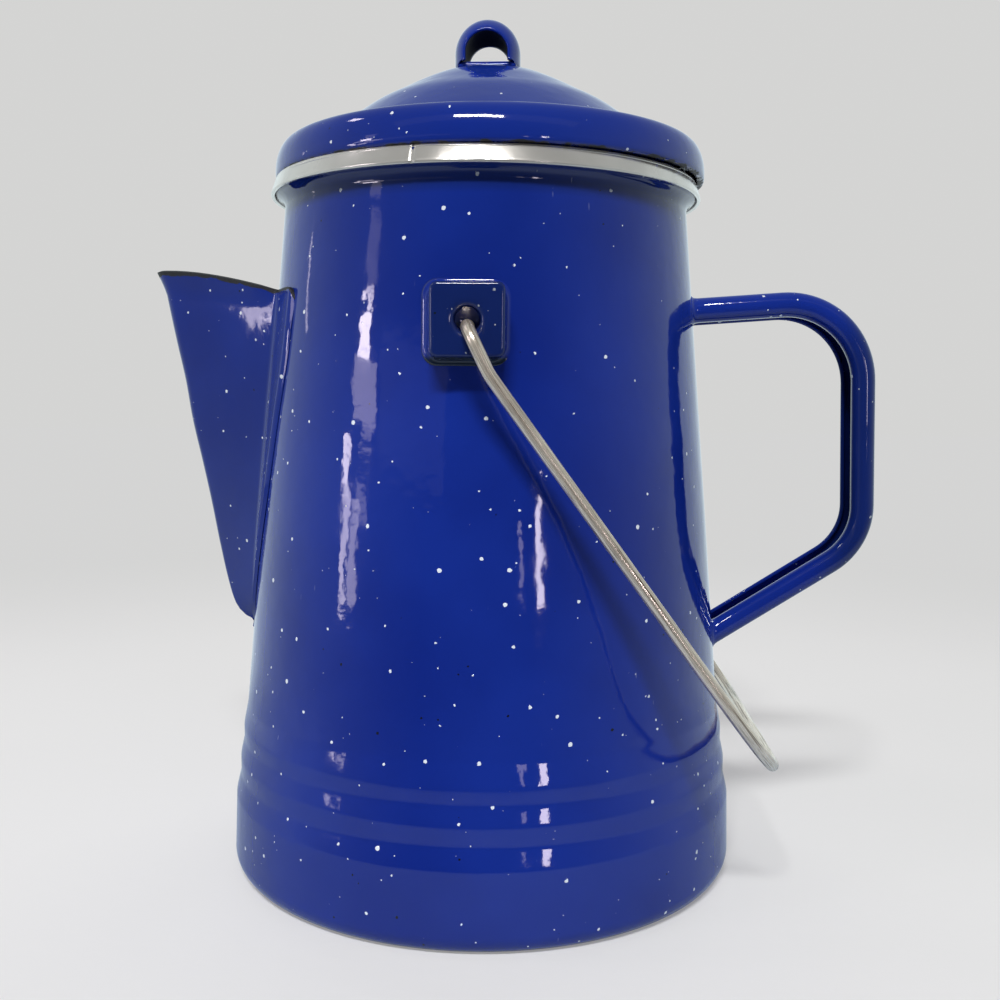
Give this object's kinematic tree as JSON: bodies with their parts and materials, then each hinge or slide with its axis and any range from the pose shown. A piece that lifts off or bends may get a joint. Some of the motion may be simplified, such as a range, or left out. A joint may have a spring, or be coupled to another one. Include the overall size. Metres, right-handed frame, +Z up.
{
  "type": "coffee percolator",
  "caption": "Blue speckled enamel camp percolator: tapered beaded pot, V spout, channel handle, wire bail, steel rim, domed lid with loop, pump tube and basket inside.",
  "frame": {"origin": "on the pot's axis, at the plane that the pot stands on", "axes": "+Z up; +X towards the side handle, so the spout points along -X; the bail swings about a line along Y through the two lugs"},
  "size_m": [0.2413, 0.1782, 0.2782],
  "materials": {
    "enamel": "glossy speckled vitreous enamel",
    "rim_steel": "bright stainless",
    "bail_steel": "drawn wire, satin",
    "pump_aluminium": "satin spun",
    "basket_aluminium": "satin spun"
  },
  "bodies": {
    "pot": {"pot_shell": "enamel", "bottom_plate": "enamel", "rim_band": "rim_steel", "spout": "enamel", "handle": "enamel", "bail_lug_front": "enamel", "bail_lug_rear": "enamel"},
    "bail": {"bail_wire": "bail_steel"},
    "pump": {"pump_foot": "pump_aluminium", "pump_tube": "pump_aluminium", "basket_stop": "pump_aluminium"},
    "basket": {"basket_cup": "basket_aluminium", "basket_post": "basket_aluminium"},
    "spreader": {"basket_cover": "basket_aluminium"},
    "lid": {"lid_shell": "enamel", "lid_skirt": "enamel", "lid_loop": "enamel"}
  },
  "joints": [
    {"name": "bail_swing", "type": "hinge", "parent": "pot", "child": "bail", "pos_m": [0, 0, 0.1801], "axis": [0, -1, 0], "range_deg": [-3.2, 291.2]},
    {"name": "pump_lift", "type": "slide", "parent": "pot", "child": "pump", "axis": [0, 0, 1], "range_m": [0, 0.23]},
    {"name": "basket_lift", "type": "slide", "parent": "pump", "child": "basket", "axis": [0, 0, 1], "range_m": [0, 0.065]},
    {"name": "cover_lift", "type": "slide", "parent": "basket", "child": "spreader", "axis": [0, 0, 1], "range_m": [0, 0.04]},
    {"name": "lid_lift", "type": "slide", "parent": "spreader", "child": "lid", "axis": [0, 0, 1], "range_m": [0, 0.08]}
  ]
}
